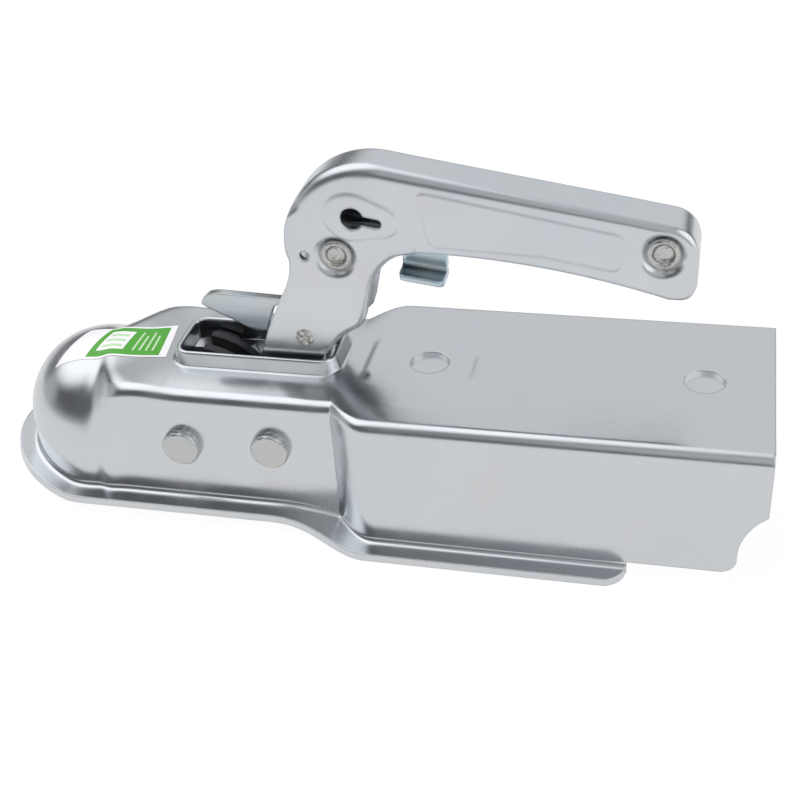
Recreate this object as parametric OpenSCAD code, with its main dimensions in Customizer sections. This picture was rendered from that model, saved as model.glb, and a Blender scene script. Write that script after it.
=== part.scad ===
// Trailer coupling head, pressed steel, for a 50 mm ball and a square drawbar.
// Origin at the ball centre, +X towards the drawbar, +Z up, millimetres.

/* [Pressed housing] */
// Diameter of the towing ball
ball_d = 50; // [40:0.5:60]
// Free space between the ball and the dome
ball_gap = 1; // [0.6:0.1:2]
// Thickness of the pressed sheet
sheet_t = 2.8; // [2:0.1:3.2]
// Outer radius of the long top bends
bend_r = 4.2; // [3.2:0.1:6]
// Height of the top face above the ball centre
top_h = 27.5; // [26.5:0.5:30]
// Where the shoulders behind the dome reach their full height
shoulder_x = 26; // [20:1:32]
// Depth of the neck's flange below the ball centre
neck_drop = 15.7; // [13:0.5:19]
// Width of the flange outside the walls
flange_w = 7; // [4:0.5:10]
// Where the front lip starts to rise, ahead of the ball centre
lip_x = 6; // [2:1:12]
// Angle of the front lip
lip_tilt = 14.5; // [0:0.5:20]

/* [Drawbar channel] */
// Inner width of the channel
channel_w = 71.4; // [62:0.2:84]
// Depth of the channel's flange below the ball centre
channel_drop = 20; // [17:0.5:26]
// Where the neck starts to widen
step_x = 92.4; // [86:0.2:96]
// Length of the widening
step_len = 17.6; // [15:0.2:24]
// Top plate behind the second bolt hole
rear_margin = 22; // [16:1:40]
// Length of bare wall behind the flange
tail_len = 42; // [30:1:50]
// Depth of the bare wall's lower edge
tail_drop = 18; // [14:0.5:20]
// Radius of the arc cut from the wall's rear corner
notch_r = 20; // [12:1:24]
// Radius of the rounded corner below that arc
corner_r = 5; // [2:0.5:8]
// Diameter of the two bolt holes
hole_d = 13; // [8:0.5:16]
// Distance between the bolt holes
hole_pitch = 90; // [60:1:95]
// Distance from the ball centre to the first bolt hole
hole_x = 119.6; // [116:0.2:124]
// Width of a pressed rib on the top plate
rib_w = 5.6; // [3:0.2:8]
// Length of a pressed rib
rib_l = 26; // [10:1:40]
// Height of a pressed rib
rib_h = 0.5; // [0.2:0.1:1]

/* [Collar] */
// Width of the opening for the lever
collar_w = 20.6; // [19.6:0.2:26]
// Height of the raised collar
collar_h = 5; // [3:0.5:7]
// Thickness of the raised collar
collar_t = 2; // [1.5:0.1:2.8]
// Inner corner radius of the opening
collar_r = 4; // [2:0.5:6]
// Opening ahead of the jaw's rivet
collar_front = 4.5; // [4:0.1:6]
// Opening behind the lever's rivet
collar_rear = 17.5; // [16.5:0.5:20]

/* [Cross rivets] */
// Jaw rivet behind the ball centre
jaw_x = 38.8; // [38:0.1:41]
// Jaw rivet above the ball centre
jaw_z = 6.2; // [5:0.1:7]
// Distance from the jaw rivet to the lever rivet
lever_dx = 31.7; // [31:0.1:33]
// Height of the lever rivet above the ball centre
lever_z = 8.1; // [7.5:0.1:9]
// Shank diameter of both cross rivets
pin_d = 10; // [8:0.5:11]
// Head diameter of both cross rivets
head_d = 13.4; // [12:0.2:18]
// Height of the rivet heads
head_h = 3.2; // [1:0.1:4]
// Wall of the bushes on the rivets
bush_t = 1.5; // [1:0.1:2]
// Wall of the spacer tubes on the rivets
spacer_t = 2; // [1.2:0.1:2.4]

/* [Jaw] */
// Width of the jaw's fork
jaw_w = 11.8; // [10:0.2:11.9]
// Width of the jaw's ball seat
seat_w = 26; // [18:1:34]
// Thickness of the seat behind the ball
seat_t = 5.8; // [4:0.2:7]
// Angle that the seat reaches above and below the ball's middle
seat_angle = 35; // [25:1:38]
// Clearance between the ball and its seat
seat_gap = 0.2; // [0.1:0.1:0.5]
// Radius of the jaw's rounded top about its rivet
jaw_r = 24.4; // [22:0.2:25]
// Width of the slot that lets the catch in
jaw_slot = 5.2; // [4:0.2:6]

/* [Lever] */
// Width over the lever's two side plates
lever_w = 16.9; // [16:0.1:18]
// Thickness of the lever's sheet
lever_t = 2.2; // [1.6:0.1:2.4]
// Radius of the bow over the front of the lever
bow_r = 27.7; // [26:0.1:30]
// Length from the bow's centre to the grip's end
grip_l = 91; // [84:1:105]
// Fall of the grip towards its end
grip_fall = 10; // [6:0.5:12]
// Radius of the grip's rounded end
nose_r = 9.75; // [8:0.25:11]
// Diameter of the drive pin
drive_d = 5; // [4:0.5:6]
// Diameter of the small rivets
small_d = 6; // [5:0.5:7]
// Diameter of the small rivets' heads
small_head_d = 10; // [8:0.5:11]
// Radius of the dishes round the small rivets
dish_r = 6.2; // [5.8:0.1:7]
// Depth of the dishes
dish_h = 1.8; // [0.8:0.1:2]

/* [Catch and springs] */
// Thickness of the safety catch
catch_t = 3; // [2:0.2:3.6]
// Length of the trigger tab across the lever
tab_l = 8; // [5:0.5:9]
// Wire diameter of the lever spring
wire_d = 1.8; // [1.4:0.1:2]
// Wire diameter of the catch spring
fine_wire_d = 1; // [0.6:0.1:1.2]
// Thickness of the label
label_t = 0.25; // [0.1:0.05:0.5]
// Clearance between shafts and holes
run_gap = 0.05; // [0.02:0.01:0.09]
// Clearance between pieces that pass each other
side_gap = 0.3; // [0.2:0.05:0.4]

/* [Hidden] */
$fn = 96;
tiny = 0.01;

ball_r = ball_d / 2;
dome_r = ball_r + ball_gap + sheet_t;
neck_hw = dome_r;
channel_hw = channel_w / 2 + sheet_t;
inner_bend_r = bend_r - sheet_t + 0.2;
step_bend_r = bend_r + 0.4;
cap_r = norm([dome_r, shoulder_x]);
step_end = step_x + step_len;
edge_x = step_x - 17;
wall_len = step_len * 0.7;
rear_x = hole_x + hole_pitch + rear_margin;
edge_len = step_end - edge_x - 6;
flange_end = rear_x - tail_len;
front_x = jaw_x - collar_front;
lever_x = jaw_x + lever_dx;
collar_len = lever_x + collar_rear - front_x;
pin_r = pin_d / 2;
bush_r = pin_r + run_gap + bush_t;
spacer_r = pin_r + run_gap + spacer_t;
lever_in = lever_w / 2 - lever_t;
bow = [34, 65.9];
nose = bow + [grip_l, (bow_r - nose_r - grip_l * sin(grip_fall)) / cos(grip_fall)];
tail = nose + [nose_r - 5.3, -9.1];
tail_r = 5.1;
catch_at = [22.6, 62.2];
grip_at = nose + [-0.7, 0.4];
stop_at = [9.3, 31.4];
hook_at = [12.4, 62];
key_at = [29.3, 76.2];
drive_at = [-14.5, 10.9];
stop_d = 5;
catch_bush_r = small_d / 2 + run_gap + bush_t;
dish_in = lever_in - dish_h;

function ease(t) = t <= 0 ? 0 : t >= 1 ? 1 : t * t * (3 - 2 * t);
function mix(a, b, t) = a + (b - a) * t;
function arc(c, r, a0, a1, n) = [for (i = [0:n]) c + r * [cos(mix(a0, a1, i / n)), sin(mix(a0, a1, i / n))]];
function bezier(a, b, c, n) = [for (i = [0:n]) let (t = i / n) (1 - t) * (1 - t) * a + 2 * t * (1 - t) * b + t * t * c];

function swing(t) = let (u = min(max(t, 0), 1)) u * (1.6 - 0.6 * u);
function wall_at(x) = mix(neck_hw, channel_hw, swing((x - step_x) / wall_len));
function edge_at(x) = flange_w + mix(neck_hw, channel_hw, ease((x - edge_x) / edge_len));
function drop_at(x) = mix(neck_drop, channel_drop, ease((x - edge_x) / edge_len));

// Points in the plane y = 0 are [x, z]; the lever's are measured from its rivet
module across(w) {
    rotate([90, 0, 0])
        linear_extrude(w, center = true)
            children();
}

module at_lever(p = [0, 0]) {
    translate([lever_x + p[0], 0, lever_z + p[1]])
        children();
}

module at_jaw() {
    translate([jaw_x, 0, jaw_z])
        children();
}

module rod(r, w) {
    rotate([90, 0, 0])
        cylinder(r = r, h = w, center = true);
}

module tube(r_out, r_in, w) {
    difference() {
        rod(r_out, w);
        rod(r_in, w + 1);
    }
}

// A tube between two values of y
module spacer(r_out, r_in, y0, y1) {
    translate([0, (y0 + y1) / 2, 0])
        tube(r_out, r_in, y1 - y0);
}

// Section of the neck or channel: square below, round at the top corners
module hood(half, top, r, low) {
    translate([-half, low])
        square([2 * half, top - r - low]);
    translate([r - half, low])
        square([2 * (half - r), top - low]);
    for (s = [-1, 1])
        translate([s * (half - r), top - r])
            circle(r);
}

module along(x0, x1) {
    translate([x0, 0, 0])
        rotate([90, 0, 90])
            linear_extrude(x1 - x0)
                children();
}

// Neck with spherical shoulders that grow out of the dome; d grows or shrinks it all round
module neck_body(d, r, low) {
    intersection() {
        along(0, edge_x)
            hood(neck_hw + d, top_h + d, r, low);
        union() {
            translate([shoulder_x, 0, 0])
                sphere(cap_r + d);
            translate([shoulder_x, 0, low - 1])
                cylinder(r = cap_r + d, h = 1 - low);
            translate([shoulder_x, -dome_r * 2, low - 1])
                cube([edge_x, dome_r * 4, dome_r * 2 - low]);
        }
    }
}

module dome_body(d, low) {
    sphere(dome_r + d);
    difference() {
        translate([0, 0, low])
            cylinder(r = dome_r + d, h = -low);
        translate([0, -dome_r * 2, low - 1])
            cube([dome_r * 4, dome_r * 4, dome_r * 4]);
    }
}

// Everything below the flange's face, which rises ahead of lip_x; t moves it down
module under_flange(t) {
    size = dome_r * 6;
    translate([-lip_x, -size / 2, -neck_drop - t - size])
        cube([size, size, size]);
    translate([-lip_x, 0, -neck_drop - t])
        rotate([0, lip_tilt, 0])
            translate([-size, -size / 2, -size])
                cube([size * 1.3, size, size]);
}

module front_shell() {
    low = -neck_drop - sheet_t - dome_r;
    difference() {
        union() {
            dome_body(0, low);
            neck_body(0, bend_r, low);
            intersection() {
                union() {
                    difference() {
                        translate([0, 0, low])
                            cylinder(r = dome_r + flange_w, h = -low);
                        translate([0, -dome_r * 2, low - 1])
                            cube([dome_r * 4, dome_r * 4, dome_r * 4]);
                    }
                    translate([0, -dome_r - flange_w, low])
                        cube([edge_x, 2 * (dome_r + flange_w), -low]);
                }
                under_flange(0);
            }
        }
        under_flange(sheet_t);
        dome_body(-sheet_t, low - 1);
        translate([-tiny, 0, 0])
            neck_body(-sheet_t, inner_bend_r, low - 1);
        translate([edge_x - 1, 0, 0])
            along(0, 2)
                hood(neck_hw - sheet_t, top_h - sheet_t, inner_bend_r, low - 1);
    }
}

// Half a hat-shaped line from the flange's edge up to the top face, and the whole line
function half_hat(w, e, f, r, z) = concat([[e, f], [w, f]], arc([w - r, z - r], r, 0, 90, 8));
function whole_hat(p) = concat(p, [for (i = [1:len(p)]) let (q = p[len(p) - i]) [-q[0], q[1]]]);

module step_shell() {
    xs = concat([for (i = [0:5]) mix(edge_x, step_x, i / 5)],
        [for (i = [1:12]) mix(step_x, step_end, i / 12)]);
    steps = len(xs) - 1;
    outer = [for (x = xs) whole_hat(half_hat(wall_at(x), edge_at(x), -drop_at(x), step_bend_r, top_h))];
    inner = [for (x = xs) whole_hat(half_hat(wall_at(x) - sheet_t, edge_at(x), -drop_at(x) - sheet_t,
        step_bend_r - sheet_t + 0.2, top_h - sheet_t))];
    m = len(outer[0]);
    n = 2 * m;
    last = steps * n;
    points = [for (i = [0:steps]) each concat([for (p = outer[i]) [xs[i], p[0], p[1]]],
        [for (p = inner[i]) [xs[i], p[0], p[1]]])];
    out_faces = [for (i = [0:steps - 1], j = [0:m - 2]) [j, j + n, j + n + 1, j + 1] + i * [n, n, n, n]];
    in_faces = [for (i = [0:steps - 1], j = [m:n - 2]) [j, j + 1, j + n + 1, j + n] + i * [n, n, n, n]];
    edge_faces = [for (i = [0:steps - 1]) each [[m, m + n, n, 0] + i * [n, n, n, n],
        [m - 1, m - 1 + n, 2 * n - 1, n - 1] + i * [n, n, n, n]]];
    end_faces = [for (j = [0:m - 2]) each [[j, j + 1, j + 1 + m, j + m],
        [last + j, last + j + m, last + j + 1 + m, last + j + 1]]];
    polyhedron(points, concat(out_faces, in_faces, edge_faces, end_faces));
}

// Side view of what is cut from the walls behind the flange
module rear_cut() {
    x0 = rear_x - 8.2;
    z0 = corner_r - tail_drop;
    difference() {
        union() {
            translate([flange_end, -tail_drop - channel_drop])
                square([rear_x, channel_drop]);
            translate([x0 - corner_r, -tail_drop - 1])
                square([tail_len, corner_r + 1]);
            translate([x0, z0 - 1])
                square([tail_len, 3]);
        }
        translate([x0 - corner_r, z0])
            circle(corner_r);
    }
    translate([x0 + notch_r, z0 + 2])
        circle(notch_r);
}

module rear_shell() {
    low = -channel_drop - sheet_t;
    difference() {
        union() {
            along(step_end, rear_x)
                hood(channel_hw, top_h, bend_r, low);
            translate([step_end, -channel_hw - flange_w, low])
                cube([flange_end - step_end, 2 * (channel_hw + flange_w), sheet_t]);
        }
        translate([step_end - 1, 0, 0])
            along(0, rear_x)
                hood(channel_w / 2, top_h - sheet_t, inner_bend_r, low - 1);
        across(4 * channel_w)
            rear_cut();
        for (s = [-1, 1])
            translate([flange_end, s * channel_hw, low - 1])
                rotate([0, 0, s * 45])
                    translate([0, -flange_w * 2, 0])
                        cube([flange_w * 2, flange_w * 4, sheet_t + 1.5]);
    }
}

// Rounded rectangle of the opening, grown by d
module opening(d) {
    r = collar_r + d;
    translate([front_x - d, -collar_w / 2 - d + r])
        square([collar_len + 2 * d, collar_w + 2 * d - 2 * r]);
    translate([front_x - d + r, -collar_w / 2 - d])
        square([collar_len + 2 * d - 2 * r, collar_w + 2 * d]);
    for (x = [front_x + collar_r, front_x + collar_len - collar_r], y = [-1, 1])
        translate([x, y * (collar_w / 2 - collar_r)])
            circle(r);
}

module ribs() {
    r = (rib_w * rib_w / 4 + rib_h * rib_h) / (2 * rib_h);
    for (x = [hole_x - 19, hole_x + 17, hole_x + hole_pitch - 13.5, rear_x - 4])
        intersection() {
            translate([x, 0, top_h + rib_h - r])
                rod(r, rib_l);
            translate([x - rib_w, -rib_l, top_h - tiny])
                cube([2 * rib_w, 2 * rib_l, 2 * rib_h]);
        }
}

module housing() {
    color("#c3c7ca")
        difference() {
            union() {
                front_shell();
                step_shell();
                rear_shell();
                translate([0, 0, top_h - sheet_t / 2])
                    linear_extrude(collar_h + sheet_t / 2)
                        opening(collar_t);
                ribs();
            }
            translate([0, 0, top_h - sheet_t - 5])
                linear_extrude(collar_h + sheet_t + 10)
                    opening(0);
            for (x = [hole_x, hole_x + hole_pitch])
                translate([x, 0, top_h - sheet_t - 1])
                    cylinder(d = hole_d, h = sheet_t + 3);
            at_jaw()
                rod(pin_r + tiny, 3 * neck_hw);
            at_lever()
                rod(pin_r + tiny, 3 * neck_hw);
        }
}

module label() {
    low = dome_r / 3;
    corners = [[-12.2, -13], [28.4, -8.5], [25.4, 11.9], [-4.7, 3.7]];
    color("#f2f4ef")
        intersection() {
            translate([0, 0, low])
                linear_extrude(dome_r)
                    polygon(corners);
            difference() {
                union() {
                    sphere(dome_r + label_t);
                    neck_body(label_t, bend_r, 0);
                }
                sphere(dome_r);
                neck_body(0, bend_r, -1);
            }
        }
}

module cross_rivet() {
    rod(pin_r, 2 * neck_hw + 1);
    for (s = [-1, 1])
        translate([0, s * neck_hw, 0])
            rotate([-90 * s, 0, 0]) {
                cylinder(d = head_d, h = head_h - 0.8);
                translate([0, 0, head_h - 0.8])
                    cylinder(d1 = head_d, d2 = head_d - 1.4, h = 0.8);
            }
}

module jaw_rivet() {
    color("#b5b3ae")
        at_jaw()
            cross_rivet();
}

module jaw_bush() {
    color("#9a8f70")
        at_jaw()
            tube(bush_r, pin_r + tiny, jaw_w + side_gap);
}

module jaw_spacer(side) {
    y0 = (jaw_w + side_gap) / 2;
    y1 = neck_hw - sheet_t;
    color("#a9adb0")
        at_jaw()
            spacer(spacer_r, pin_r + tiny, side < 0 ? -y1 : y0, side < 0 ? -y0 : y1);
}

module lever_rivet() {
    color("#b5b3ae")
        at_lever()
            cross_rivet();
}

module lever_bush() {
    color("#9a8f70")
        at_lever()
            tube(bush_r, pin_r + tiny, lever_w + side_gap);
}

module lever_spacer(side) {
    y0 = (lever_w + side_gap) / 2;
    y1 = neck_hw - sheet_t;
    color("#a9adb0")
        at_lever()
            spacer(spacer_r + 1, pin_r + tiny, side < 0 ? -y1 : y0, side < 0 ? -y0 : y1);
}

// A wire of radius r along points that never run along Y, with n sides
module wire(path, r, n = 10) {
    last = len(path) - 1;
    dirs = [for (i = [0:last]) let (d = path[min(i + 1, last)] - path[max(i - 1, 0)]) d / norm(d)];
    rings = [for (i = [0:last]) let (u = cross(dirs[i], [0, 1, 0]), a = u / norm(u), b = cross(dirs[i], a))
        for (j = [0:n - 1]) path[i] + r * (a * cos(360 * j / n) + b * sin(360 * j / n))];
    sides = [for (i = [0:last - 1], j = [0:n - 1]) let (k = (j + 1) % n)
        [i * n + j, (i + 1) * n + j, (i + 1) * n + k, i * n + k]];
    polyhedron(rings, concat([[for (j = [0:n - 1]) j]], sides, [[for (j = [1:n]) last * n + n - j]]));
}

// Helix about Y from y0 to y1, clockwise from the angle a0
function coil(r, y0, y1, a0, turns, n) =
    [for (i = [0:n * turns]) let (t = i / floor(n * turns), a = a0 - 360 * turns * t)
        [r * cos(a), mix(y0, y1, t), r * sin(a)]];

// Angle at which a line from a circle of radius r about 0 passes p at the distance d
function leave_at(r, p, d) = atan2(p[1], p[0]) + acos((r - d) / norm(p));

module lever_spring() {
    r = bush_r + 0.4 + wire_d / 2;
    y = lever_in - wire_d / 2 - 0.6;
    near = stop_d / 2 + 1 + wire_d / 2 + 0.15;
    under = [collar_rear + 2, top_h - sheet_t - wire_d / 2 - 0.1 - lever_z];
    a0 = leave_at(r, stop_at, near);
    a1 = leave_at(r, under, 0);
    tip = stop_at + near * [cos(a0), sin(a0)] + 4 * [sin(a0), -cos(a0)];
    color("#8d9194")
        at_lever()
            wire(concat([[tip[0], y, tip[1]]], coil(r, y, -y, a0, 3 + (a0 - a1) / 360, 20),
                [[under[0], -y, under[1]], [under[0] + 4, -y, under[1]]]), wire_d / 2);
}

// Side view of the lever, from the front foot over the bow to the grip and back
module lever_outline() {
    polygon(concat(
        [[-9, 4], [-6.5, 24.8], [-3.3, 33.4], [2.6, 46.1], [6, 54.5], [bow[0] - bow_r + 0.6, 60]],
        arc(bow, bow_r, 180, 90 - grip_fall, 20),
        arc(nose, nose_r, 90 - grip_fall, 0, 8),
        arc(tail, tail_r, 0, -90, 6),
        bezier(tail + [-3, -tail_r], [89.5, 64.9], [51.5, 65.3], 10),
        bezier([51.5, 65.3], [35.5, 63.9], [32.5, 47.9], 8),
        [[30.5, 39.9], [25.5, 34.4], [15.1, 24.2], [bush_r + 3.4, 4]]));
    circle(bush_r + 4);
    translate(drive_at)
        circle(drive_d / 2 + 3);
    rotate(atan2(drive_at[1], drive_at[0]))
        translate([0, -drive_d / 2 - 2.5])
            square([norm(drive_at), drive_d + 5]);
}

// Side view of the space between the plates, open at the front and below
module lever_pocket() {
    start = 155;
    polygon(concat(
        [bow + (bow_r + 8) * [cos(start), sin(start)]],
        arc(bow, bow_r - lever_t, start, 90 - grip_fall, 16),
        arc(nose, nose_r - lever_t, 90 - grip_fall, 0, 8),
        [tail + [tail_r - lever_t, 0], tail + [tail_r - lever_t, -3 * tail_r], [0, -30], [-60, -30], [-60, 60]]));
}

module dish(at, s) {
    translate([at[0], s * (lever_w / 2 - lever_t / 2), at[1]])
        rotate([-90 * s, 0, 0])
            children();
}

module lever() {
    color("#c6c9cd")
        at_lever()
            difference() {
                union() {
                    difference() {
                        across(lever_w)
                            lever_outline();
                        across(2 * lever_in)
                            lever_pocket();
                    }
                    for (at = [catch_at, grip_at], s = [-1, 1])
                        dish(at, s)
                            translate([0, 0, -dish_h - lever_t / 2])
                                cylinder(r = dish_r + 1, h = dish_h + tiny);
                }
                rod(bush_r + run_gap, lever_w + 1);
                for (at = [catch_at, grip_at]) {
                    translate([at[0], 0, at[1]])
                        rod(small_d / 2 + tiny, lever_w + 1);
                    for (s = [-1, 1])
                        dish(at, s)
                            translate([0, 0, lever_t / 2 - dish_h])
                                cylinder(r = dish_r, h = dish_h + 1);
                }
                translate([stop_at[0], 0, stop_at[1]])
                    rod(stop_d / 2 + tiny, lever_w + 1);
                translate([drive_at[0], 0, drive_at[1]])
                    rod(drive_d / 2 + tiny, lever_w + 1);
                translate([hook_at[0], -lever_w / 2, hook_at[1]])
                    rod(1.6, 3 * lever_t);
                translate([key_at[0], -lever_w / 2, key_at[1]]) {
                    rod(3.7, 3 * lever_t);
                    rotate([0, grip_fall, 0])
                        translate([0, -lever_t * 1.5, -1.5])
                            cube([8, 3 * lever_t, 3]);
                }
            }
}

module drive_pin() {
    color("#a9adb0")
        at_lever(drive_at)
            rod(drive_d / 2, lever_w);
}

// A rivet through both plates whose cupped heads sit in the dishes
module dish_rivet() {
    y = lever_w / 2 - dish_h;
    difference() {
        union() {
            rod(small_d / 2, 2 * y + 1);
            for (s = [-1, 1])
                translate([0, s * y, 0])
                    rotate([-90 * s, 0, 0])
                        cylinder(d = small_head_d, h = 1.3);
        }
        for (s = [-1, 1])
            translate([0, s * (y + 0.3), 0])
                rotate([-90 * s, 0, 0])
                    cylinder(d = small_head_d - 3.6, h = 3);
    }
}

module catch_rivet() {
    color("#b9bcbe")
        at_lever(catch_at)
            dish_rivet();
}

module grip_rivet() {
    color("#b9bcbe")
        at_lever(grip_at)
            dish_rivet();
}

module grip_spacer() {
    color("#a9adb0")
        at_lever(grip_at)
            tube(small_d / 2 + 1.5, small_d / 2 + tiny, 2 * dish_in - 2 * tiny);
}

module catch_bush() {
    color("#9a8f70")
        at_lever(catch_at)
            tube(catch_bush_r, small_d / 2 + tiny, 2 * dish_in - 2 * tiny);
}

module catch_washer() {
    color("#a9adb0")
        at_lever(catch_at)
            spacer(catch_bush_r + 2.2, catch_bush_r + tiny, catch_t / 2 + side_gap / 2, dish_in - side_gap / 2);
}

module catch_spring() {
    r = catch_bush_r + 0.3 + fine_wire_d / 2;
    y0 = -catch_t / 2 - side_gap - fine_wire_d / 2;
    y1 = -dish_in + side_gap / 2 + fine_wire_d / 2;
    hook = hook_at - catch_at;
    over = [14, 6.8];
    a0 = 360 + atan2(hook[1], hook[0]) - acos(r / norm(hook));
    a1 = leave_at(r, over, 0);
    color("#8d9194")
        at_lever(catch_at) {
            wire(concat([[hook[0], y1, hook[1]]], coil(r, y1, y0, a0, 1 + (a0 - a1) / 360, 20),
                [[over[0], y0, over[1]]]), fine_wire_d / 2, 8);
            translate([over[0], 0, over[1]])
                rod(fine_wire_d / 2 + 0.1, 2 * fine_wire_d - 2 * y0);
            translate([hook[0], (y1 - lever_w / 2) / 2, hook[1]])
                rod(fine_wire_d / 2 + 0.1, lever_w / 2 + y1 + 2 * fine_wire_d);
        }
}

module stop_rivet() {
    color("#b9bcbe")
        at_lever(stop_at) {
            rod(stop_d / 2, lever_w);
            for (s = [-1, 1])
                translate([0, s * lever_w / 2, 0])
                    rotate([-90 * s, 0, 0])
                        cylinder(d1 = stop_d + 1.4, d2 = stop_d - 1, h = 0.9);
        }
}

module stop_spacer() {
    color("#a9adb0")
        at_lever(stop_at)
            tube(stop_d / 2 + 1, stop_d / 2 + tiny, 2 * lever_in);
}

// Side view of the catch from the tip of its toe round to the trigger
module catch_outline() {
    difference() {
        union() {
            polygon([[-28.6, 37.4], [-28.2, 39.3], [-26.5, 41], [-22.9, 41.9], [0, 41.2], [10, 50],
                [17, 66], [28, 68.6], [57, 67.2], [57, 55.4], [42.8, 57.4], [42.8, 61.3], [30, 61],
                [26, 52.5], [16, 51], [-3, 38], [-6.5, 28.6], [-12, 28.8], [-23.7, 34.6], [-27, 36]]);
            translate(catch_at)
                circle(9);
        }
        translate(catch_at)
            circle(catch_bush_r + run_gap);
    }
}

module catch() {
    color("#bcc6cf")
        at_lever() {
            across(catch_t)
                catch_outline();
            translate([42.8, -tab_l, 55.4])
                rotate([0, 8, 0])
                    translate([0, 0, -0.1])
                        cube([14.3, tab_l, 2.2]);
        }
}

// Side view of the jaw's two cheeks, measured from its rivet
module cheek_outline() {
    intersection() {
        circle(jaw_r);
        polygon([[2.6, 0], [7, -7], [17.2, -7], [21.7, -1], [22.2, 4], [22.2, jaw_r], [2.6, jaw_r]]);
    }
    circle(bush_r + 4);
}

// Side view of the jaw's wide top, which fills the front of the opening
module crown_outline() {
    rear = lever_dx - 21.1;
    intersection() {
        circle(jaw_r - 1.6);
        polygon([[-8, 12], [rear, 12], [rear, jaw_r], [2.6, jaw_r], [2.6, 15.2], [-8, 14.6]]);
    }
}

module jaw() {
    pin = [lever_x + drive_at[0] - jaw_x, lever_z + drive_at[1] - jaw_z];
    slot_end = pin + [-3.1, -12.5];
    slot_len = norm(slot_end - pin);
    slot_r = drive_d / 2 + 2 * side_gap;
    seat_r = ball_r + seat_gap;
    color("#34373a")
        difference() {
            union() {
                at_jaw()
                    across(jaw_w)
                        cheek_outline();
                at_jaw()
                    across(collar_w - 2)
                        crown_outline();
                intersection() {
                    across(jaw_w)
                        polygon([[ball_r * 0.8, -15.5], [28, -16], [jaw_x, jaw_z - 8], [jaw_x + 6, top_h - 6],
                            [30, top_h - 5.5], [ball_r * 0.8, 12]]);
                    at_jaw()
                        rod(top_h - sheet_t - side_gap - jaw_z, jaw_w);
                }
                difference() {
                    intersection() {
                        sphere(ball_r + seat_t);
                        across(seat_w)
                            polygon([[0, 0], 60 * [cos(-seat_angle), sin(-seat_angle)],
                                60 * [cos(seat_angle), sin(seat_angle)]]);
                    }
                    for (s = [-1, 1])
                        at_jaw()
                            translate([0, s * (jaw_w + seat_w) / 2, 0])
                                rod(spacer_r + 1, seat_w);
                }
            }
            sphere(seat_r);
            at_jaw()
                rod(bush_r + run_gap, jaw_w + 1);
            translate([0, -jaw_slot / 2, jaw_z + bush_r + 0.3])
                cube([2 * jaw_x, jaw_slot, top_h]);
            at_jaw()
                translate([pin[0], 0, pin[1]])
                    rotate([0, atan2(-3.1, -12.5) + 180, 0])
                        translate([0.04 - slot_r, -jaw_w, -slot_len])
                            cube([2 * slot_r - 0.08, 2 * jaw_w, slot_len]);
            for (p = [pin, slot_end])
                at_jaw()
                    translate([p[0], 0, p[1]])
                        rod(slot_r, jaw_w + 1);
        }
}

housing();
label();
jaw_rivet();
jaw_bush();
jaw_spacer(-1);  // jaw_spacer_near
jaw_spacer(1);  // jaw_spacer_far
lever_rivet();
lever_bush();
lever_spacer(-1);  // lever_spacer_near
lever_spacer(1);  // lever_spacer_far
lever_spring();
lever();
drive_pin();
catch_rivet();
catch_bush();
catch_washer();
catch_spring();
grip_rivet();
grip_spacer();
stop_rivet();
stop_spacer();
catch();
jaw();
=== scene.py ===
"""Looks of a trailer coupling head in bright zinc plate, built round its CAD frame.

Shapes are written in millimetres, x towards the drawbar, z up, and become metres in mesh_object().
"""

import math

import bmesh
import bpy
from mathutils import Matrix, Vector
from mathutils.geometry import tessellate_polygon


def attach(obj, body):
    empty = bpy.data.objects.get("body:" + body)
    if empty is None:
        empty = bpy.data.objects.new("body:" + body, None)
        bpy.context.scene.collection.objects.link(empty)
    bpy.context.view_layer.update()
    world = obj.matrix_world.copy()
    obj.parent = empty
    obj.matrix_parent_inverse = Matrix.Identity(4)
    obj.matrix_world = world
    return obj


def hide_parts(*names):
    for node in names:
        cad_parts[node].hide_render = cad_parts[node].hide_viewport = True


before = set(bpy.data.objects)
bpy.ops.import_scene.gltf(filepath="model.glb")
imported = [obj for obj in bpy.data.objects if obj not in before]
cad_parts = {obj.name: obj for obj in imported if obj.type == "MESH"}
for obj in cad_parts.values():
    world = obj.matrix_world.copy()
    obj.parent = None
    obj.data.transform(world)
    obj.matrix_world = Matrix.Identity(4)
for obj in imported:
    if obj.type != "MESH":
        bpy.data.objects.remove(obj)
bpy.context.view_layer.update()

MM = 0.001
SHEET = 2.8            # thickness of the housing's sheet
DOME_R = 28.8          # outside of the dome, and half the neck's width
CHANNEL_HALF = 38.5    # half the drawbar channel's width
TOP = 27.5             # top face above the ball centre
BEND = 4.2             # outer radius of the top bends
CROWN = 0.9            # how far the neck's top falls towards its bends
FLANGE = 7.0           # width of the flange
NECK_DROP = 15.7       # neck's flange below the ball centre
CHANNEL_DROP = 20.0    # channel's flange below the ball centre
LIP_X, LIP_SLOPE = -6.0, math.tan(math.radians(14.5))
SHOULDER_X = 33.0      # middle of the rounded shoulders behind the dome
SHOULDER_LONG, SHOULDER_HALF, SHOULDER_HIGH = 36.3, 42.0, 41.0    # their reach along, across and up
REAR_X = 231.6
JAW_PIVOT = (38.8, 6.2)
LEVER_PIVOT = (70.5, 8.1)
CATCH_RIVET = (93.1, 70.3)
GRIP_RIVET = (194.8, 76.57)
STOP_RIVET = (79.8, 39.5)
SPRING_HOLE = (82.9, 70.1)
KEYHOLE = (99.8, 84.3)
LEVER_HALF = 8.45      # half the lever's width
LEVER_SHEET = 2.2
ROLL = 2.3             # radius of the rolled rear edges of the lever's plates
BOW_BEND, GRIP_BEND = 4.0, 2.45    # how far the web's bends reach into the plates
GRIP_FALL = 10         # fall of the grip's top and of the keyhole's slot, in degrees
GRIP_TILT = math.radians(-GRIP_FALL)
DISH_DEPTH = 1.8
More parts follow.
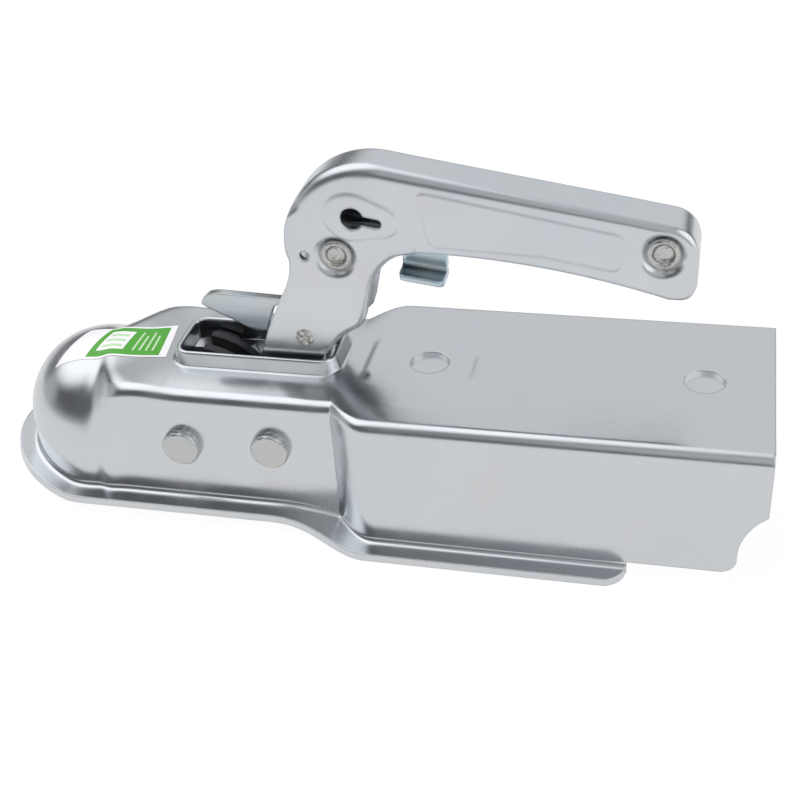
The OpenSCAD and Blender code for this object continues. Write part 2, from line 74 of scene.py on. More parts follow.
CATCH_HALF, CATCH_BORE_R = 1.5, 4.6    # half the catch plate's thickness, and its bore
OPENING = (34.3, 88.0, 10.3, 4.0)    # of the collar: both ends, half width, corner radius
BOLT_HOLES, BOLT_HOLE_R = (119.6, 209.6), 6.5
KEYHOLE_R, SPRING_HOLE_R = 3.7, 1.6
LEVER_WIRE_R, CATCH_WIRE_R = 0.9, 0.5
STICKER_LIFT, STICKER_SHEET = 0.16, 0.12    # its face above the plate, and the film's thickness
RIBS = ((100.6, -12, 13), (136.6, -12.5, 8), (196.1, -13, 17), (227.6, -12, 21))    # x, and both ends in y
RIB_HALF, RIB_RISE = 3.2, 0.45


# ---------------------------- small geometry
def mix(a, b, t):
    return a + (b - a) * t


def ease(t):
    t = min(max(t, 0.0), 1.0)
    return t * t * (3 - 2 * t)


def soft_max(a, b, k):
    """The larger of two values, with a smooth change from one to the other over k."""
    h = max(k - abs(a - b), 0.0) / k
    return max(a, b) + h ** 3 * k / 6


def soft_min(a, b, k):
    return -soft_max(-a, -b, k)


def arc(centre, r, start, end, steps):
    """Points of an arc in a plane, both ends included, angles in degrees."""
    angles = [math.radians(mix(start, end, i / steps)) for i in range(steps + 1)]
    return [(centre[0] + r * math.cos(a), centre[1] + r * math.sin(a)) for a in angles]


def circle(centre, r, count):
    """The points of a whole circle, none of them twice."""
    return arc(centre, r, 0, 360 - 360 / count, count - 1)


def bezier(a, b, c, steps):
    """Points of a curve from a to c, drawn towards b."""
    return [tuple((1 - t) ** 2 * p + 2 * t * (1 - t) * q + t * t * s for p, q, s in zip(a, b, c))
            for t in (i / steps for i in range(steps + 1))]


def outward(points):
    """Unit normals of a closed outline, pointing away from it."""
    area = sum(points[i - 1][0] * points[i][1] - points[i][0] * points[i - 1][1] for i in range(len(points)))
    side = 1 if area > 0 else -1
    normals = []
    for i in range(len(points)):
        a, b = Vector(points[i - 1]), Vector(points[(i + 1) % len(points)])
        d = (b - a).normalized()
        normals.append((side * d.y, -side * d.x))
    return normals


# ---------------------------- making pieces
def mesh_object(name, points, faces, merge=0.004):
    """An object in metres from points in millimetres, its doubles merged."""
    mesh = bpy.data.meshes.new(name)
    mesh.from_pydata([Vector(p) * MM for p in points], [], faces)
    work = bmesh.new()
    work.from_mesh(mesh)
    bmesh.ops.remove_doubles(work, verts=work.verts, dist=merge * MM)
    bmesh.ops.dissolve_degenerate(work, edges=work.edges, dist=merge * MM)
    work.to_mesh(mesh)
    work.free()
    obj = bpy.data.objects.new(name, mesh)
    bpy.context.scene.collection.objects.link(obj)
    return obj


def face_out(obj):
    """Turns the faces of a closed shape outwards."""
    work = bmesh.new()
    work.from_mesh(obj.data)
    bmesh.ops.recalc_face_normals(work, faces=work.faces)
    work.to_mesh(obj.data)
    work.free()


def bake(obj):
    """The object's modifiers become its mesh."""
    graph = bpy.context.evaluated_depsgraph_get()
    graph.update()
    mesh = bpy.data.meshes.new_from_object(obj.evaluated_get(graph))
    obj.modifiers.clear()
    obj.data = mesh


def cut(obj, cutters):
    """Takes the cutters' shapes away from the object, and the cutters from the scene."""
    for cutter in cutters:
        step = obj.modifiers.new("cut", "BOOLEAN")
        step.operation, step.solver, step.object = "DIFFERENCE", "EXACT", cutter
    bake(obj)
    for cutter in cutters:
        bpy.data.objects.remove(cutter)


def round_edges(obj, width, segments=2, angle=40):
    step = obj.modifiers.new("round", "BEVEL")
    step.width, step.segments, step.limit_method = width * MM, segments, "ANGLE"
    step.angle_limit = math.radians(angle)
    step.use_clamp_overlap = True
    step.miter_outer = "MITER_ARC"
    bake(obj)


def finish(obj, body, material, nodes=(), sharp=35):
    """Smooth shading but for sharp edges, then body, finish and the CAD nodes it stands for."""
    mesh = obj.data
    for face in mesh.polygons:
        face.use_smooth = True
    mesh.set_sharp_from_angle(angle=math.radians(sharp))
    step = obj.modifiers.new("even_shading", "WEIGHTED_NORMAL")
    step.keep_sharp = True
    bake(obj)
    obj.data.materials.clear()
    obj.data.materials.append(material)
    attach(obj, body)
    if nodes:
        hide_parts(*nodes)
    return obj


def grid_faces(rows, columns, around=False, along=False):
    """Faces of a grid of points; around closes each row, along joins the last row to the first."""
    faces = []
    for i in range(rows if along else rows - 1):
        a, b = i * columns, ((i + 1) % rows) * columns
        for j in range(columns if around else columns - 1):
            k = (j + 1) % columns
            faces.append((a + j, b + j, b + k, a + k))
    return faces


def skinned(name, rows, flats=(None, None)):
    """A closed skin over rows of points that run round.

    An end has one flat face, or triangles where flats gives its outline in the plane.
    """
    n = len(rows[0])
    faces = grid_faces(len(rows), n, around=True)
    for start, flat in zip((0, n * (len(rows) - 1)), flats):
        if flat:
            triangles = tessellate_polygon([[Vector((*p, 0)) for p in flat]])
            faces += [tuple(start + i for i in triangle) for triangle in triangles]
        else:
            faces.append(tuple(range(start, start + n)))
    obj = mesh_object(name, [p for row in rows for p in row], faces)
    face_out(obj)
    return obj


def lathe(name, profile, centre, steps=64):
    """Turns (radius, y) points round an axis along Y through centre = (x, z)."""
    angles = [2 * math.pi * i / steps for i in range(steps)]
    return skinned(name, [[(centre[0] + r * math.cos(a), y, centre[1] + r * math.sin(a)) for a in angles]
                          for r, y in profile])


def prism(name, outline, low, high, axis="y"):
    """A closed prism: outline in x and z along Y, or in x and y along Z."""
    rows = [[(u, level, v) if axis == "y" else (u, v, level) for u, v in outline] for level in (low, high)]
    return skinned(name, rows, (outline, outline))


def tube_along(name, path, radius, sides=12):
    """A round wire along points in millimetres, with closed ends."""
    path = [Vector(p) for p in path]
    rows, up = [], None
    for i, p in enumerate(path):
        d = (path[min(i + 1, len(path) - 1)] - path[max(i - 1, 0)]).normalized()
        if up is None:
            up = d.orthogonal()
        up = (up - d * up.dot(d)).normalized()
        side = d.cross(up)
        rows.append([p + radius * (up * math.cos(a) + side * math.sin(a))
                     for a in (2 * math.pi * j / sides for j in range(sides))])
    return skinned(name, rows)


def join_into(obj, others):
    """Makes the others part of the object's mesh."""
    whole = [obj, *others]
    with bpy.context.temp_override(active_object=obj, object=obj, selected_objects=whole,
                                   selected_editable_objects=whole):
        bpy.ops.object.join()


# ---------------------------- finishes
def add_group(name, inputs, outputs, kind="ShaderNodeTree"):
    """A node group with its (name, kind, value) inputs: the tree, and its sockets inside."""
    tree = bpy.data.node_groups.new(name, kind)
    for label, socket_type, value in inputs:
        socket = tree.interface.new_socket(label, in_out="INPUT", socket_type=socket_type)
        if value is not None:
            socket.default_value = value
    for label, socket_type in outputs:
        tree.interface.new_socket(label, in_out="OUTPUT", socket_type=socket_type)
    return tree, tree.nodes.new("NodeGroupInput").outputs, tree.nodes.new("NodeGroupOutput").inputs


def node(tree, kind, sockets=(), **properties):
    """Adds a node; sockets are pairs of an input and its source: a socket, a node or a value."""
    made = tree.nodes.new(kind)
    for key, value in properties.items():
        setattr(made, key, value)
    for place, source in sockets:
        if isinstance(source, bpy.types.Node):
            source = source.outputs[0]
        if isinstance(source, bpy.types.NodeSocket):
            tree.links.new(source, made.inputs[place])
        else:
            made.inputs[place].default_value = source
    return made


def maths(tree, operation, a, b, **properties):
    return node(tree, "ShaderNodeMath", [(0, a), (1, b)], operation=operation, **properties)


def spread(tree, source, low, high, least=0.0, most=1.0):
    """Takes what lies between low and high to the range from least to most."""
    return node(tree, "ShaderNodeMapRange", [(0, source), (1, low), (2, high), (3, least), (4, most)])


def noise(tree, place, scale, detail):
    made = node(tree, "ShaderNodeTexNoise", [("Vector", place), ("Scale", scale), ("Detail", detail)])
    return made.outputs["Fac"]


def mixed(tree, share, under, over):
    return node(tree, "ShaderNodeMix", [(0, share), (6, under), (7, over)], data_type="RGBA").outputs[2]


def ramp(tree, source, stops):
    made = node(tree, "ShaderNodeValToRGB", [(0, source)])
    bar = made.color_ramp
    while len(bar.elements) < len(stops):
        bar.elements.new(0.5)
    for element, (place, colour) in zip(bar.elements, stops):
        element.position, element.color = place, (*colour, 1)
    return made.outputs["Color"]


def plate_group():
    """Bright zinc plate: cloudy tints, drawing streaks and small scuffs on a metal colour."""
    tree, given, out = add_group("zinc_plate", [
        ("Metal", "NodeSocketColor", (0.7, 0.71, 0.72, 1)), ("Cool", "NodeSocketColor", (0.62, 0.68, 0.74, 1)),
        ("Warm", "NodeSocketColor", (0.76, 0.73, 0.7, 1)), ("Tint", "NodeSocketFloat", 0.5),
        ("Gloss", "NodeSocketFloat", 0.25), ("Scuff", "NodeSocketFloat", 0.3),
        ("Relief", "NodeSocketFloat", 0.1), ("Grain", "NodeSocketFloat", 900)],
        [("Color", "NodeSocketColor"), ("Roughness", "NodeSocketFloat"), ("Height", "NodeSocketFloat")])
    place = node(tree, "ShaderNodeTexCoord").outputs["Object"]
    cloud = noise(tree, place, 26, 3)
    patch = noise(tree, place, 55, 5)
    grain = noise(tree, place, given["Grain"], 2)
    stretched = node(tree, "ShaderNodeMapping", [("Vector", place), ("Scale", (14, 500, 500))])
    streak = noise(tree, stretched, 1, 4)
    cool = maths(tree, "MULTIPLY", spread(tree, cloud, 0.42, 0.68), given["Tint"])
    warm = maths(tree, "MULTIPLY", spread(tree, patch, 0.52, 0.75), given["Tint"])
    colour = mixed(tree, cool, given["Metal"], given["Cool"])
    colour = mixed(tree, warm, colour, given["Warm"])
    worn = maths(tree, "MULTIPLY", spread(tree, streak, 0.45, 0.75, 0.0, 0.22), given["Scuff"])
    rough = maths(tree, "ADD", spread(tree, patch, 0.3, 0.7, -0.05, 0.07), worn)
    rough = maths(tree, "ADD", rough, given["Gloss"], use_clamp=True)
    height = maths(tree, "ADD", cloud, maths(tree, "MULTIPLY", grain, given["Relief"]))
    for source, label in ((colour, "Color"), (rough.outputs[0], "Roughness"), (height.outputs[0], "Height")):
        tree.links.new(source, out[label])
    return tree


PLATE = plate_group()


def shader(name, metallic, roughness, colour):
    """A new material, its tree and its surface shader."""
    material = bpy.data.materials.new(name)
    material.use_nodes = True
    surface = material.node_tree.nodes["Principled BSDF"]
    surface.inputs["Metallic"].default_value = metallic
    surface.inputs["Roughness"].default_value = roughness
    surface.inputs["Base Color"].default_value = (*colour, 1)
    material.diffuse_color = (*colour, 1)
    return material, material.node_tree, surface


def embossed(tree, surface, height, strength, distance, edge):
    """Fine relief, and edges that look rounded by the radius edge; both lengths in millimetres."""
    bump = node(tree, "ShaderNodeBump", [
        ("Height", height), ("Strength", strength), ("Distance", distance * MM)])
    if edge:
        rounded = node(tree, "ShaderNodeBevel", [("Radius", edge * MM)], samples=6)
        tree.links.new(rounded.outputs[0], bump.inputs["Normal"])
    tree.links.new(bump.outputs[0], surface.inputs["Normal"])


def plated(name, metal, cool, warm, tint=0.5, gloss=0.25, scuff=0.3, relief=0.1, grain=900, edge=0.7,
           strength=0.06):
    """Metal with the zinc plate's clouds and streaks and slightly rounded edges."""
    material, tree, surface = shader(name, metallic=1.0, roughness=0.4, colour=metal)
    plate = node(tree, "ShaderNodeGroup", [
        ("Metal", (*metal, 1)), ("Cool", (*cool, 1)), ("Warm", (*warm, 1)), ("Tint", tint), ("Gloss", gloss),
        ("Scuff", scuff), ("Relief", relief), ("Grain", grain)], node_tree=PLATE)
    tree.links.new(plate.outputs["Color"], surface.inputs["Base Color"])
    tree.links.new(plate.outputs["Roughness"], surface.inputs["Roughness"])
    embossed(tree, surface, plate.outputs["Height"], strength, 1.0, edge)
    return material


def cast_black(name):
    """Black phosphated casting with a sandy skin, a little brown where it is worn."""
    material, tree, surface = shader(name, metallic=0.55, roughness=0.45, colour=(0.03, 0.032, 0.036))
    place = node(tree, "ShaderNodeTexCoord").outputs["Object"]
    blotch = noise(tree, place, 70, 4)
    shades = [(0.35, (0.022, 0.024, 0.028)), (0.6, (0.045, 0.046, 0.05)), (0.75, (0.075, 0.066, 0.06))]
    tree.links.new(ramp(tree, blotch, shades), surface.inputs["Base Color"])
    tree.links.new(spread(tree, blotch, 0.3, 0.7, 0.32, 0.55).outputs[0], surface.inputs["Roughness"])
    embossed(tree, surface, noise(tree, place, 700, 3), 0.25, 0.5, 0.8)
    return material


def printed_film(name):
    """White film with a green field, a white box and pale bars, at shares of its length and width."""
    material, tree, surface = shader(name, metallic=0.0, roughness=0.28, colour=(0.86, 0.88, 0.84))
    surface.inputs["Coat Weight"].default_value = 0.15
    uv = node(tree, "ShaderNodeUVMap", uv_map="film")
    parts = node(tree, "ShaderNodeSeparateXYZ", [(0, uv)])

    def band(source, low, high):
        return maths(tree, "MULTIPLY", maths(tree, "GREATER_THAN", source, low),
                     maths(tree, "LESS_THAN", source, high))

    def painted(under, colour, along, across):
        box = maths(tree, "MULTIPLY", band(parts.outputs[0], *along), band(parts.outputs[1], *across))
        return mixed(tree, box, under, colour)

    white, green, pale = (0.76, 0.75, 0.77, 1), (0.055, 0.3, 0.018, 1), (0.45, 0.62, 0.38, 1)
    colour = painted(white, green, (0.27, 0.93), (0.05, 0.95))
    colour = painted(colour, white, (0.33, 0.58), (0.2, 0.8))
    for k in range(3):
        low = 0.27 + k * 0.17
        colour = painted(colour, pale, (0.36, 0.55), (low, low + 0.08))
    for k in range(4):
        low = 0.66 + k * 0.06
        colour = painted(colour, pale, (low, low + 0.02), (0.2, 0.8 - 0.12 * (k % 2)))
    tree.links.new(colour, surface.inputs["Base Color"])
    return material


ZINC = plated("zinc_housing", (0.69, 0.705, 0.725), (0.64, 0.7, 0.755), (0.72, 0.705, 0.7),
              tint=0.4, gloss=0.22, scuff=0.12, strength=0.025)
ZINC_LEVER = plated("zinc_lever", (0.7, 0.715, 0.74), (0.62, 0.69, 0.755), (0.71, 0.7, 0.71),
                    tint=0.55, gloss=0.2, scuff=0.12, edge=1.5, strength=0.045)
ZINC_CATCH = plated("zinc_catch", (0.6, 0.665, 0.72), (0.45, 0.62, 0.72), (0.72, 0.7, 0.64),
                    tint=0.8, gloss=0.2)
ZINC_RIVET = plated("zinc_rivets", (0.62, 0.61, 0.59), (0.56, 0.6, 0.63), (0.68, 0.63, 0.56),
                    tint=0.7, gloss=0.3, relief=1.4, grain=620, edge=0.3, strength=0.42)
STEEL = plated("inner_steel", (0.3, 0.31, 0.33), (0.26, 0.29, 0.32), (0.33, 0.31, 0.28), gloss=0.38)
WIRE = plated("spring_wire", (0.4, 0.41, 0.43), (0.36, 0.39, 0.42), (0.45, 0.43, 0.4), gloss=0.28, edge=0)
BRONZE = plated("bronze_bush", (0.5, 0.36, 0.18), (0.45, 0.34, 0.2), (0.56, 0.42, 0.22), gloss=0.32)
CAST = cast_black("cast_jaw")
FILM = printed_film("sticker_film")


# ---------------------------- pressed housing
STEP_X, STEP_LENGTH = 92.4, 11.8     # where the walls start to widen, and over what length
FLANGE_STEP_X, FLANGE_STEP_LENGTH = 68.0, 36.0


def step_at(x):
    """Widening of the walls from neck (0) to channel (1): a tight crease, a slanted run, a softer end."""
    t = max((x - STEP_X + 0.6) / STEP_LENGTH, 0.0)
    t = soft_min(t - 0.05 * (1 - math.exp(-t / 0.05)), 1.0, 0.35)
    return t * (1.6 - 0.6 * t)


def flange_step_at(x):
    return ease(max((x - FLANGE_STEP_X) / FLANGE_STEP_LENGTH, 0.0) ** 1.3)


def crown_at(x, share):
    """Fall of the neck's top; share runs from the middle (0) to the bend (1)."""
    fade = ease((x - 24) / 16) * (1 - ease((x - 86) / 18))
    return CROWN * fade * max((share - 0.42) / 0.58, 0.0) ** 2


def flange_z(x):
    """Height of the flange's top side, which rises towards the nose and falls towards the channel."""
    if x < LIP_X:
        return -NECK_DROP + (LIP_X - x) * LIP_SLOPE
    return -mix(NECK_DROP, CHANNEL_DROP, flange_step_at(x))


def neck_section(x):
    """Outer half section of the dome and neck or channel above z = 0, from the top's middle to the wall."""
    half = mix(DOME_R, CHANNEL_HALF, step_at(x))
    points = [((half - BEND) * i / 16, TOP - crown_at(x, i / 16)) for i in range(16)]
    shoulder = TOP - crown_at(x, 1) - BEND
    points += arc((half - BEND, shoulder), BEND, 90, 0, 12)
    points += [(half, shoulder * (1 - i / 6)) for i in range(1, 7)]
    dome = math.sqrt(max(DOME_R ** 2 - x * x, 0.0))
    grown = max(1 - ((min(x, SHOULDER_X) - SHOULDER_X) / SHOULDER_LONG) ** 2, 0.0)
    shaped = []
    for y, z in points:
        r = math.hypot(y, z)
        cap = math.sqrt(grown / ((y / r / SHOULDER_HALF) ** 2 + (z / r / SHOULDER_HIGH) ** 2))
        blend = mix(6.0, 9.0, ease(z / r / 0.6))    # wider over the top than along the walls
        wanted = soft_max(dome, soft_min(cap, r, 4.5), blend) if x < SHOULDER_X else r
        shaped.append((y * wanted / r, z * wanted / r))
    return shaped


def rib_height(x, y):
    """Rise of the low ribs pressed across the channel's top."""
    for place, low, high in RIBS:
        if abs(x - place) < RIB_HALF:
            across = math.cos((x - place) / RIB_HALF * math.pi / 2) ** 2
            return RIB_RISE * across * ease((y - low) / 4) * ease((high - y) / 4)
    return 0.0


def housing_rows():
    """Rows of outer points from the far flange over the top to the near flange, nose first."""
    foot = 2.2    # radius of the bend from wall to flange
    base = neck_section(0.0)
    stops = [0.8 * i for i in range(25)] + [21, 22, 23.5, 25, 27, 30, 33.9, 34.1, 38, 44, 50, 56, 62, 66]
    stops += [mix(FLANGE_STEP_X, STEP_X - 1, i / 12) for i in range(12)]
    stops += [mix(STEP_X - 0.6, STEP_X + 1.3 * STEP_LENGTH, (i / 32) ** 1.4) for i in range(33)]
    stops += [110, 112, 118, 124, 130, 146, 160, 176, 190, 204, 212, 220, REAR_X]
    for place, *_ in RIBS:
        stops += [place + RIB_HALF * k / 5 for k in range(-5, 6) if place + RIB_HALF * k / 5 < REAR_X]
    stations = [("turn", 90 * (1 - i / 28)) for i in range(28)] + [("along", x) for x in sorted(set(stops))]
    rows = []
    for kind, value in stations:
        sides = []
        for side in (1, -1):
            if kind == "turn":
                turn = math.radians(value)
                points = [(-y * math.sin(turn), side * y * math.cos(turn), z) for y, z in base]
                wall = base[-1][0]
            else:
                section = neck_section(value)
                points = [(value, side * y, z + rib_height(value, side * y) * (1 if i < 16 else 0))
                          for i, (y, z) in enumerate(section)]
                wall = section[-1][0]

            def below(s, rise, level=None):
                """A point s out from the middle: rise above the flange, or at a share of the way down to it."""
                if kind == "turn":
                    x, y = -s * math.sin(turn), side * s * math.cos(turn)
                else:
                    x, y = value, side * s
                low = flange_z(x)
                return (x, y, level * (low + foot) if level is not None else low + rise)

            points += [below(wall, 0, level) for level in (0.25, 0.5, 0.75, 1.0)]
            points += [below(wall + foot + foot * math.cos(a), foot + foot * math.sin(a))
                       for a in map(math.radians, (200, 218, 236, 254, 270))]
            end = FLANGE + (mix(DOME_R, CHANNEL_HALF, flange_step_at(value)) if kind == "along" else DOME_R)
            points += [below(mix(wall + foot, end, t), 0) for t in (0.35, 0.7, 1.0)]
            sides.append(points)
        far, near = sides
        rows.append(far[::-1] + near[1:])
    return rows


def rounded_rectangle(x0, x1, half, r, grow=0.0, steps=8):
    r = r + grow
    corners = ((x1 + grow - r, half + grow - r, 0), (x0 - grow + r, half + grow - r, 90),
               (x0 - grow + r, -half - grow + r, 180), (x1 + grow - r, -half - grow + r, 270))
    return [p for cx, cy, start in corners for p in arc((cx, cy), r, start, start + 90, steps)]


def collar(name):
    """Raised rim round the opening, drawn up out of the top plate with a fillet at its foot."""
    inner, rim = 24.9, TOP + 5.0    # its lower edge inside the sheet, and its top
    profile = [(0.0, inner), (0.0, rim - 0.9)] + arc((0.8, rim - 0.8), 0.8, 180, 90, 4)
    profile += arc((0.9, rim - 0.8), 0.8, 90, 16, 5) + arc((3.2, TOP + 0.4), 0.4, 196, 270, 5)
    profile += [(3.5, TOP - 0.2), (3.2, inner + 0.8)]
    path = rounded_rectangle(*OPENING, steps=10)
    normals = outward(path)
    points = [(x + nx * o, y + ny * o, z) for (x, y), (nx, ny) in zip(path, normals) for o, z in profile]
    obj = mesh_object(name, points, grid_faces(len(path), len(profile), around=True, along=True))
    face_out(obj)
    return obj


def housing():
    """The pressing: its skin made a sheet, the cuts through it, and the collar."""
    rows = housing_rows()
    skin = grid_faces(len(rows), len(rows[0]))
    obj = mesh_object("housing_pressing", [p for row in rows for p in row], skin)
    face_out(obj)
    highest = max(obj.data.polygons, key=lambda f: f.center.z - abs(f.center.y))
    if highest.normal.z < 0:
        obj.data.flip_normals()
    wall = obj.modifiers.new("sheet", "SOLIDIFY")
    wall.thickness, wall.offset, wall.use_even_offset, wall.use_quality_normals = SHEET * MM, -1, True, True
    bake(obj)
    round_edges(obj, 0.8, 3, 62)
    # the channel's side has no flange at the rear, and its lower rear corner is cut away in a round
    notch = arc((243.4, -11.0), 20, 180, 126.2, 14)
    side = [(189.6, -18.0), (218.4, -18.0)] + arc((218.4, -13.0), 5, -90, 0, 8) + notch
    side += [(245, 5.1), (245, -40), (189.6, -40)]
    cutters = [prism("cut_side", side, -70, 70)]
    for x in BOLT_HOLES:
        cutters.append(prism("cut_hole", circle((x, 0), BOLT_HOLE_R, 64), 10, 40, axis="z"))
    cutters.append(prism("cut_opening", rounded_rectangle(*OPENING, grow=0.3), 10, 45, axis="z"))
    for s in (-1, 1):
        corner = [(192, s * 38.9), (189.3, s * 38.9), (188.9, s * 40.6), (187.9, s * 42.4), (186.4, s * 43.9),
                  (184.6, s * 45.0), (182.6, s * 45.6), (182.6, s * 60), (192, s * 60)]
        cutters.append(prism("cut_corner", corner, -40, -16.5, axis="z"))
    cut(obj, cutters)
    join_into(obj, [collar("collar")])
    return finish(obj, "body", ZINC, ["housing"])


def surface_z(x, y):
    """Height of the dome's or neck's outer surface above a point in plan."""
    section = neck_section(max(x, 0.0))
    reach = abs(y) if x >= 0 else math.hypot(x, y)
    for (y0, z0), (y1, z1) in zip(section, section[1:]):
        if y0 <= reach <= y1:
            return mix(z0, z1, (reach - y0) / max(y1 - y0, 1e-6))
    return section[0][1]


def label():
    """The sticker, draped over the dome and the neck's top between four corners."""
    near_left, near_right, far_right, far_left = (-12.2, -13.0), (28.4, -8.5), (25.4, 11.9), (-4.7, 3.7)
    columns, rows = 48, 24
    points, uvs = [], []
    for j in range(rows + 1):
        for i in range(columns + 1):
            u, v = i / columns, j / rows
            x = mix(mix(near_left[0], near_right[0], u), mix(far_left[0], far_right[0], u), v)
            y = mix(mix(near_left[1], near_right[1], u), mix(far_left[1], far_right[1], u), v)
            points.append((x, y, surface_z(x, y) + STICKER_LIFT))
            uvs.append((u, v))
    obj = mesh_object("sticker", points, grid_faces(rows + 1, columns + 1), merge=0)
    if obj.data.polygons[0].normal.z < 0:
        obj.data.flip_normals()
    film = obj.data.uv_layers.new(name="film")
    for loop in obj.data.loops:
        film.data[loop.index].uv = uvs[loop.vertex_index]
    sheet = obj.modifiers.new("film", "SOLIDIFY")
    sheet.thickness, sheet.offset = STICKER_SHEET * MM, -1
    bake(obj)
    return finish(obj, "body", FILM, ["label"])


# ---------------------------- rivets and turned pieces
def both_ends(profile):
    """The whole profile of a turned piece from that of its one half."""
    return [(r, -y) for r, y in profile] + profile[::-1]


def cross_rivet(name, centre, stands_for):
    """Rivet across the neck, with flat heads on the outer walls."""
    # (radius, height over the wall)
    head = [(0.0, 3.05), (3.4, 3.1), (5.2, 3.2)] + arc((5.55, 2.2), 1.0, 90, 6, 8)
    head += [(6.7, 0.5), (6.72, -0.1), (5.0, -0.1)]
    obj = lathe(name, both_ends([(r, DOME_R + h) for r, h in head]), centre)
    return finish(obj, "body", ZINC_RIVET, [stands_for], sharp=50)


def hollow_rivet(name, centre, stands_for):
    """Rivet with cupped heads that sit in the lever's dishes."""
    # (radius, height over the dish's floor)
    head = [(0.0, -0.75), (2.3, -0.7), (2.8, -0.45), (3.2, 0.2)] + arc((4.15, 0.2), 0.9, 165, 0, 10)
    head += [(5.05, 0.02), (4.6, -0.1), (3.0, -1.2)]
    obj = lathe(name, both_ends([(r, LEVER_HALF - DISH_DEPTH + h) for r, h in head]), centre)
    return finish(obj, "lever_body", ZINC_RIVET, [stands_for], sharp=60)


def stake_tree():
    """Rings of small punched stakes on both ends of a rivet along Y; lengths in metres."""
    tree, given, out = add_group("punched_stakes", [
        ("Stakes", "NodeSocketInt", 5), ("Ring radius", "NodeSocketFloat", 0.0025),
        ("Stake radius", "NodeSocketFloat", 0.001), ("Half length", "NodeSocketFloat", 0.009),
        ("Centre", "NodeSocketVector", (0, 0, 0)), ("Turn", "NodeSocketFloat", 0.0),
        ("Finish", "NodeSocketMaterial", None)], [("Geometry", "NodeSocketGeometry")], "GeometryNodeTree")
    ring = node(tree, "GeometryNodeMeshCircle", [
        ("Vertices", given["Stakes"]), ("Radius", given["Ring radius"])])
    stake = node(tree, "GeometryNodeMeshUVSphere", [(0, 16), (1, 10), ("Radius", given["Stake radius"])])
    placed = node(tree, "GeometryNodeInstanceOnPoints", [("Points", ring), ("Instance", stake)])
    both = node(tree, "GeometryNodeJoinGeometry")
    for side in (-1, 1):
        reach = node(tree, "ShaderNodeCombineXYZ", [(1, maths(tree, "MULTIPLY", given["Half length"], side))])
        spot = node(tree, "ShaderNodeVectorMath", [(0, reach), (1, given["Centre"])], operation="ADD")
        tilt = node(tree, "ShaderNodeCombineXYZ", [(0, math.pi / 2), (1, given["Turn"])])
        moved = node(tree, "GeometryNodeTransform", [
            ("Geometry", placed), ("Translation", spot), ("Rotation", tilt)])
        tree.links.new(moved.outputs[0], both.inputs[0])
    real = node(tree, "GeometryNodeRealizeInstances", [(0, both)])
    dressed = node(tree, "GeometryNodeSetMaterial", [("Geometry", real), ("Material", given["Finish"])])
    tree.links.new(dressed.outputs[0], out[0])
    return tree


def grown(name, tree, **settings):
    """A plain mesh made by a geometry tree; settings are its named inputs, with _ for a space."""
    obj = mesh_object(name, [(0, 0, 0)], [])
    step = obj.modifiers.new("grow", "NODES")
    step.node_group = tree
    for socket in tree.interface.items_tree:
        key = socket.name.replace(" ", "_")
        if socket.in_out == "INPUT" and key in settings:
            step[socket.identifier] = settings[key]
    bake(obj)
    return obj


def stop_rivet():
    """Low rivet of the lever, its ends staked over and rough."""
    # (radius, height over the plate)
    head = [(0.0, 0.55), (1.2, 0.62), (2.1, 0.5), (2.7, 0.3), (3.1, 0.1), (3.2, -0.05), (2.5, -0.1)]
    obj = lathe("staked_rivet", both_ends([(r, LEVER_HALF + h) for r, h in head]), STOP_RIVET)
    stakes = grown("stakes", stake_tree(), Stakes=5, Ring_radius=2.0 * MM, Stake_radius=1.05 * MM,
                   Half_length=(LEVER_HALF + 0.15) * MM, Turn=0.35, Finish=ZINC_RIVET,
                   Centre=(STOP_RIVET[0] * MM, 0.0, STOP_RIVET[1] * MM))
    join_into(obj, [stakes])
    return finish(obj, "lever_body", ZINC_RIVET, ["stop_rivet"], sharp=60)


# ---------------------------- springs
def coil_points(centre, r, y0, y1, start, turns, per_turn=28):
    """Points of a coil round an axis along Y, wound backwards from the angle start."""
    count = int(turns * per_turn)
    points = []
    for i in range(count + 1):
        a = math.radians(start - 360 * turns * i / count)
        points.append((centre[0] + r * math.cos(a), mix(y0, y1, i / count), centre[1] + r * math.sin(a)))
    return points


def leave_angle(r, point, clear):
    """Angle at which a straight leg leaves a coil of radius r to pass a point at a clearance."""
    return math.degrees(math.atan2(point[1], point[0]) + math.acos((r - clear) / math.hypot(*point)))


def lever_spring():
    """Its coil and the leg under the neck's top stay with the housing, its other leg rides the lever."""
    r, y = 7.85, 4.75
    stop = (STOP_RIVET[0] - LEVER_PIVOT[0], STOP_RIVET[1] - LEVER_PIVOT[1])
    under = (19.5, 15.6)    # where the fixed leg meets the top, from the pivot
    clear = 4.55            # from the stop rivet's middle to the moving leg's
    a0, a1 = leave_angle(r, stop, clear), leave_angle(r, under, 0)
    n = (math.cos(math.radians(a0)), math.sin(math.radians(a0)))
    tip = (stop[0] + clear * n[0] + 4 * n[1], stop[1] + clear * n[1] - 4 * n[0])
    cx, cz = LEVER_PIVOT
    path = coil_points(LEVER_PIVOT, r, y, -y, a0, 3 + (a0 - a1) / 360)
    path += [(cx + under[0], -y, cz + under[1]), (cx + under[0] + 4, -y, cz + under[1])]
    fixed = tube_along("lever_spring_coil", path, LEVER_WIRE_R)
    finish(fixed, "body", WIRE, ["lever_spring"], sharp=70)
    leg = [(cx + r * n[0], y, cz + r * n[1]), (cx + tip[0], y, cz + tip[1])]
    leg = [tuple(mix(a, b, t) for a, b in zip(*leg)) for t in (0.06, 0.5, 1)]
    moving = tube_along("lever_spring_leg", leg, LEVER_WIRE_R)
    finish(moving, "lever_body", WIRE, sharp=70)


